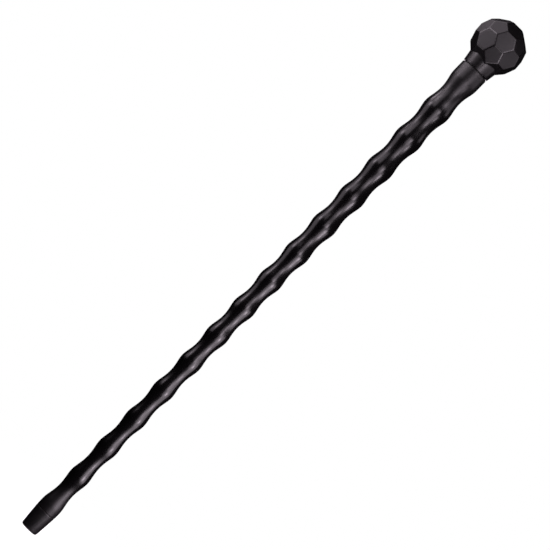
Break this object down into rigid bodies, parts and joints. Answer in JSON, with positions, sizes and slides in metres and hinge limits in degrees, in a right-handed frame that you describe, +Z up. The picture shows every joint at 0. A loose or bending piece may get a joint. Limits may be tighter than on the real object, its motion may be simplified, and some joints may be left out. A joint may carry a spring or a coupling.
{
  "type": "knobbed walking stick",
  "caption": "Straight black walking stick with a faceted ball knob on a tapered collar, a softly rippled round shaft and a flat rubber ferrule.",
  "frame": {"origin": "centre of the ferrule's sole, where the upright stick stands on the floor", "axes": "+Z up the stick's own axis to the knob; -Y faces the front, where one hexagon of the knob's upper middle ring points straight out; +X to the right when looking along +Y"},
  "size_m": [0.0756, 0.0744, 0.943],
  "materials": {
    "black_polypropylene": "injection moulded polypropylene, satin, with a fine grain on the knob's facets",
    "black_rubber": "moulded rubber, matt",
    "zinc_plated_steel": "rolled thread, bright zinc plating"
  },
  "bodies": {
    "root": {"head": "black_polypropylene", "shaft": "black_polypropylene", "head_stud": "zinc_plated_steel", "ferrule": "black_rubber", "ferrule_washer": "zinc_plated_steel"}
  },
  "joints": []
}
